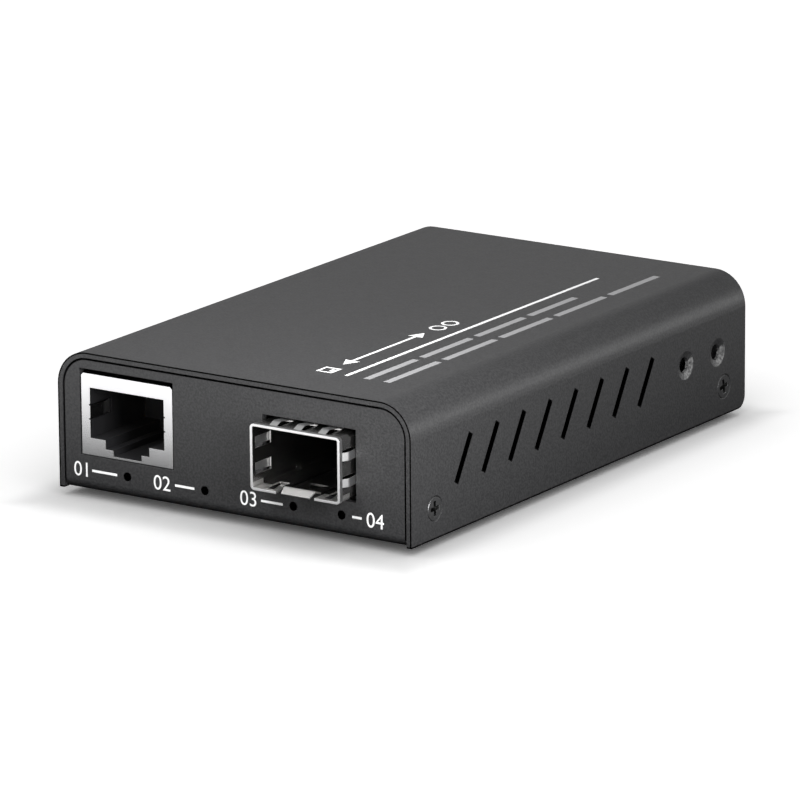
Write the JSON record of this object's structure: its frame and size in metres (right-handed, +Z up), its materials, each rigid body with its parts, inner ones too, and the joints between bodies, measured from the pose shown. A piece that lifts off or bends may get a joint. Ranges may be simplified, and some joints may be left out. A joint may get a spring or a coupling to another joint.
{
  "type": "fibre media converter",
  "caption": "Small folded-steel network media converter with a shielded copper jack and a cage for a pluggable fibre module on its front.",
  "frame": {"origin": "on the resting surface, under the middle of the whole part's box, the cage's rim included", "axes": "+Z up, sockets face -Y, +X to the right seen from the front"},
  "size_m": [0.059, 0.0914, 0.0212],
  "materials": {
    "case_paint": "fine textured powder coat",
    "screw_steel": "black zinc",
    "foot_rubber": "matt",
    "tinned_steel": "bright tin plate",
    "nickel": "bright nickel",
    "board": "black solder mask",
    "black_plastic": "moulded",
    "gilt": "gold plate",
    "lens": "clear resin",
    "chip": "moulded epoxy",
    "aluminium_can": "satin"
  },
  "bodies": {
    "root": {"top_cover": "case_paint", "base_tray": "case_paint", "cover_screws": "screw_steel", "rubber_feet": "foot_rubber", "board_standoffs": "nickel", "board_screws": "nickel", "circuit_board": "board", "status_light_1": "lens", "status_light_2": "lens", "status_light_3": "lens", "status_light_4": "lens", "jack_shield": "tinned_steel", "jack_housing": "black_plastic", "jack_insert": "black_plastic", "jack_contacts": "gilt", "cage_shell": "nickel", "cage_floor": "nickel", "cage_spring_clip": "tinned_steel", "module_connector": "black_plastic", "module_connector_contacts": "gilt", "power_inlet_housing": "black_plastic", "power_inlet_pin": "nickel", "power_inlet_spring": "nickel", "line_transformer": "chip", "converter_chip": "chip", "memory_chip": "chip", "voltage_regulator": "chip", "clock_crystal": "nickel", "power_inductor": "chip", "smoothing_capacitors": "aluminium_can"}
  },
  "joints": []
}
